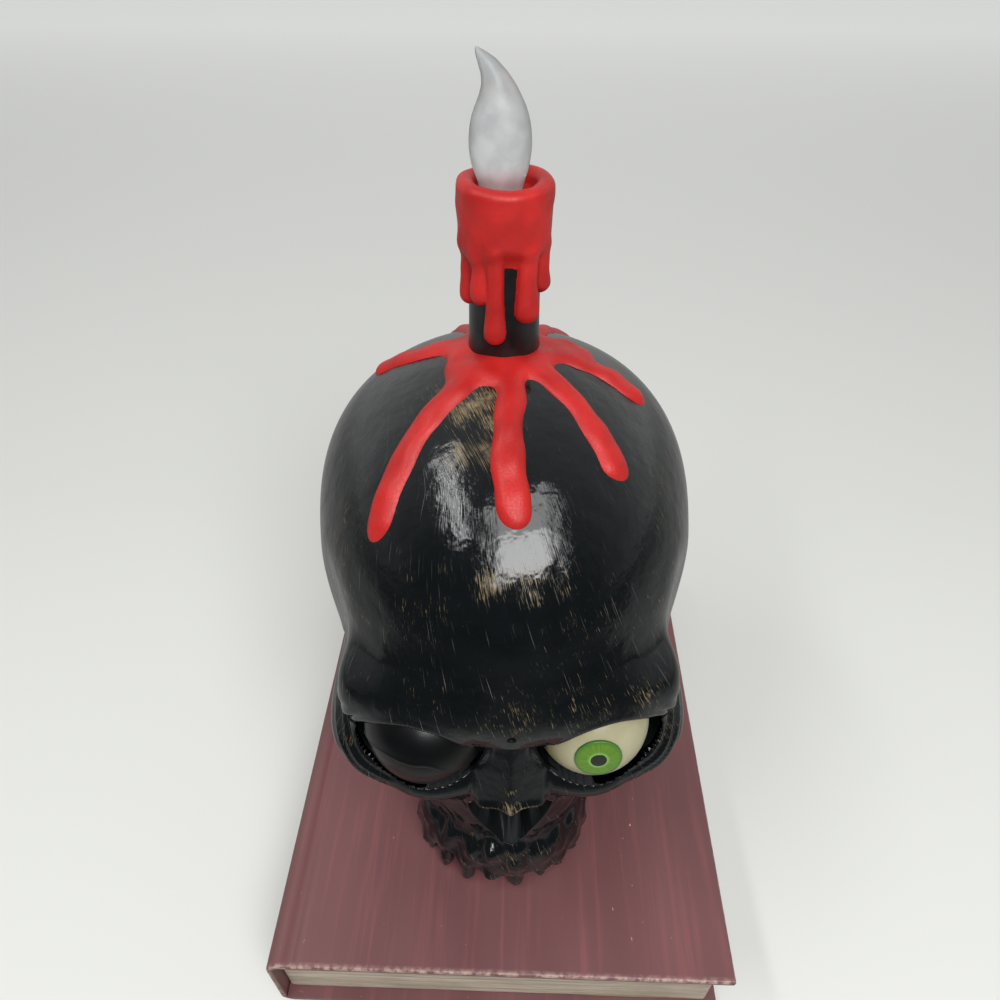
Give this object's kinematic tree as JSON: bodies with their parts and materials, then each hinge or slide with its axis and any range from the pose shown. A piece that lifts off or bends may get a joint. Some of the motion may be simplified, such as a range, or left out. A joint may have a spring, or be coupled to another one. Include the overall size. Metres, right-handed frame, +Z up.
{
  "type": "halloween skull decoration",
  "caption": "Battery-operated tabletop skull on a closed book, with side-to-side eyes, a winking lid and a lighted candle dripping wax on its crown.",
  "frame": {"origin": "middle of the footprint, on the surface the ornament stands on", "axes": "+Z up, the face looks along -Y, the spine of the book is on the -X side; the head itself is turned 3.1 degrees about +Z"},
  "size_m": [0.182, 0.236, 0.3261],
  "materials": {
    "book_cover": "satin moulded plastic painted burgundy",
    "bone_shell": "gloss black with gold dry brushing",
    "candle_body": "satin black",
    "red_wax": "satin red, wax like",
    "eye_white": "gloss cream",
    "eye_green": "gloss green print",
    "eye_dark": "gloss dark grey",
    "flame_lens": "frosted clear plastic",
    "grey_plastic": "matte",
    "white_plastic": "natural nylon",
    "black_switch": "matte",
    "foot": "matte",
    "steel": "plated",
    "board": "varnished circuit board",
    "cell": "plain sleeve"
  },
  "bodies": {
    "ornament": {"book_upper_shell": "book_cover", "book_lower_cover": "book_cover", "foot_pad_1": "foot", "foot_pad_2": "foot", "foot_pad_3": "foot", "foot_pad_4": "foot", "battery_1": "cell", "battery_2": "cell", "battery_3": "cell", "battery_contact_front": "steel", "battery_contact_rear": "steel", "speaker": "grey_plastic", "circuit_board": "board", "switch_body": "grey_plastic", "face_shell": "bone_shell", "cranium_rear_shell": "bone_shell", "eye_frame": "grey_plastic", "lid_coil": "grey_plastic", "gearbox": "white_plastic", "drive_motor": "steel", "forehead_sensor": "black_switch", "candle_post": "candle_body", "candle_nut": "grey_plastic", "wax_splash": "red_wax", "wax_cup": "red_wax", "flame": "flame_lens", "flame_light": "flame_lens", "base_screw_1": "steel", "base_screw_2": "steel", "base_screw_3": "steel", "base_screw_4": "steel", "shell_screw_1": "steel", "shell_screw_2": "steel", "neck_screw_1": "steel", "neck_screw_2": "steel", "neck_screw_3": "steel", "frame_screw_1": "steel", "frame_screw_2": "steel", "frame_screw_3": "steel", "frame_screw_4": "steel", "gearbox_screw_1": "steel", "gearbox_screw_2": "steel"},
    "right_eye": {"eyeball_right": "eye_white", "iris_right": "eye_green", "pupil_right": "eye_dark", "eye_pin_right": "steel"},
    "left_eye": {"eyeball_left": "eye_white", "iris_left": "eye_green", "pupil_left": "eye_dark", "eye_pin_left": "steel"},
    "lever": {"drive_lever": "white_plastic"},
    "link": {"link_bar": "white_plastic"},
    "lid": {"eyelid": "bone_shell", "lid_crank": "white_plastic"},
    "plunger": {"lid_plunger": "steel"},
    "switch_knob": {"power_switch": "black_switch"},
    "door": {"battery_door": "book_cover", "battery_door_screw": "steel"}
  },
  "joints": [
    {"name": "right_eye_pan", "type": "hinge", "parent": "ornament", "child": "right_eye", "pos_m": [0.032, -0.05927, 0.1303], "axis": [0, 0, 1], "range_deg": [-22, 22]},
    {"name": "left_eye_pan", "type": "hinge", "parent": "ornament", "child": "left_eye", "pos_m": [-0.02731, -0.06248, 0.1303], "axis": [0, 0, 1], "range_deg": [-22, 22]},
    {"name": "drive_lever_swing", "type": "hinge", "parent": "ornament", "child": "lever", "pos_m": [0.00234, -0.06088, 0.1083], "axis": [0, 0, 1], "range_deg": [-22, 22]},
    {"name": "link_bar_slide", "type": "slide", "parent": "ornament", "child": "link", "axis": [0.9985, 0.0541, 0], "range_m": [-0.0075, 0.0075]},
    {"name": "lid_pitch", "type": "hinge", "parent": "ornament", "child": "lid", "pos_m": [-0.02731, -0.06248, 0.1303], "axis": [-0.9985, -0.0541, 0], "range_deg": [0, 55]},
    {"name": "lid_plunger_slide", "type": "slide", "parent": "ornament", "child": "plunger", "axis": [-0.0541, 0.9985, 0], "range_m": [0, 0.00831]},
    {"name": "power_switch_slide", "type": "slide", "parent": "ornament", "child": "switch_knob", "axis": [1, 0, 0], "range_m": [0, 0.004]},
    {"name": "battery_door_lift_off", "type": "slide", "parent": "ornament", "child": "door", "axis": [0, 0, -1], "range_m": [0, 0.02]}
  ],
  "couplings": [
    {"joint": "left_eye_pan", "follows": "right_eye_pan", "ratio": 1},
    {"joint": "drive_lever_swing", "follows": "right_eye_pan", "ratio": 1},
    {"joint": "link_bar_slide", "follows": "right_eye_pan", "m_per_rad": -0.0195},
    {"joint": "lid_pitch", "follows": "lid_plunger_slide", "rad_per_m": 115.5}
  ]
}
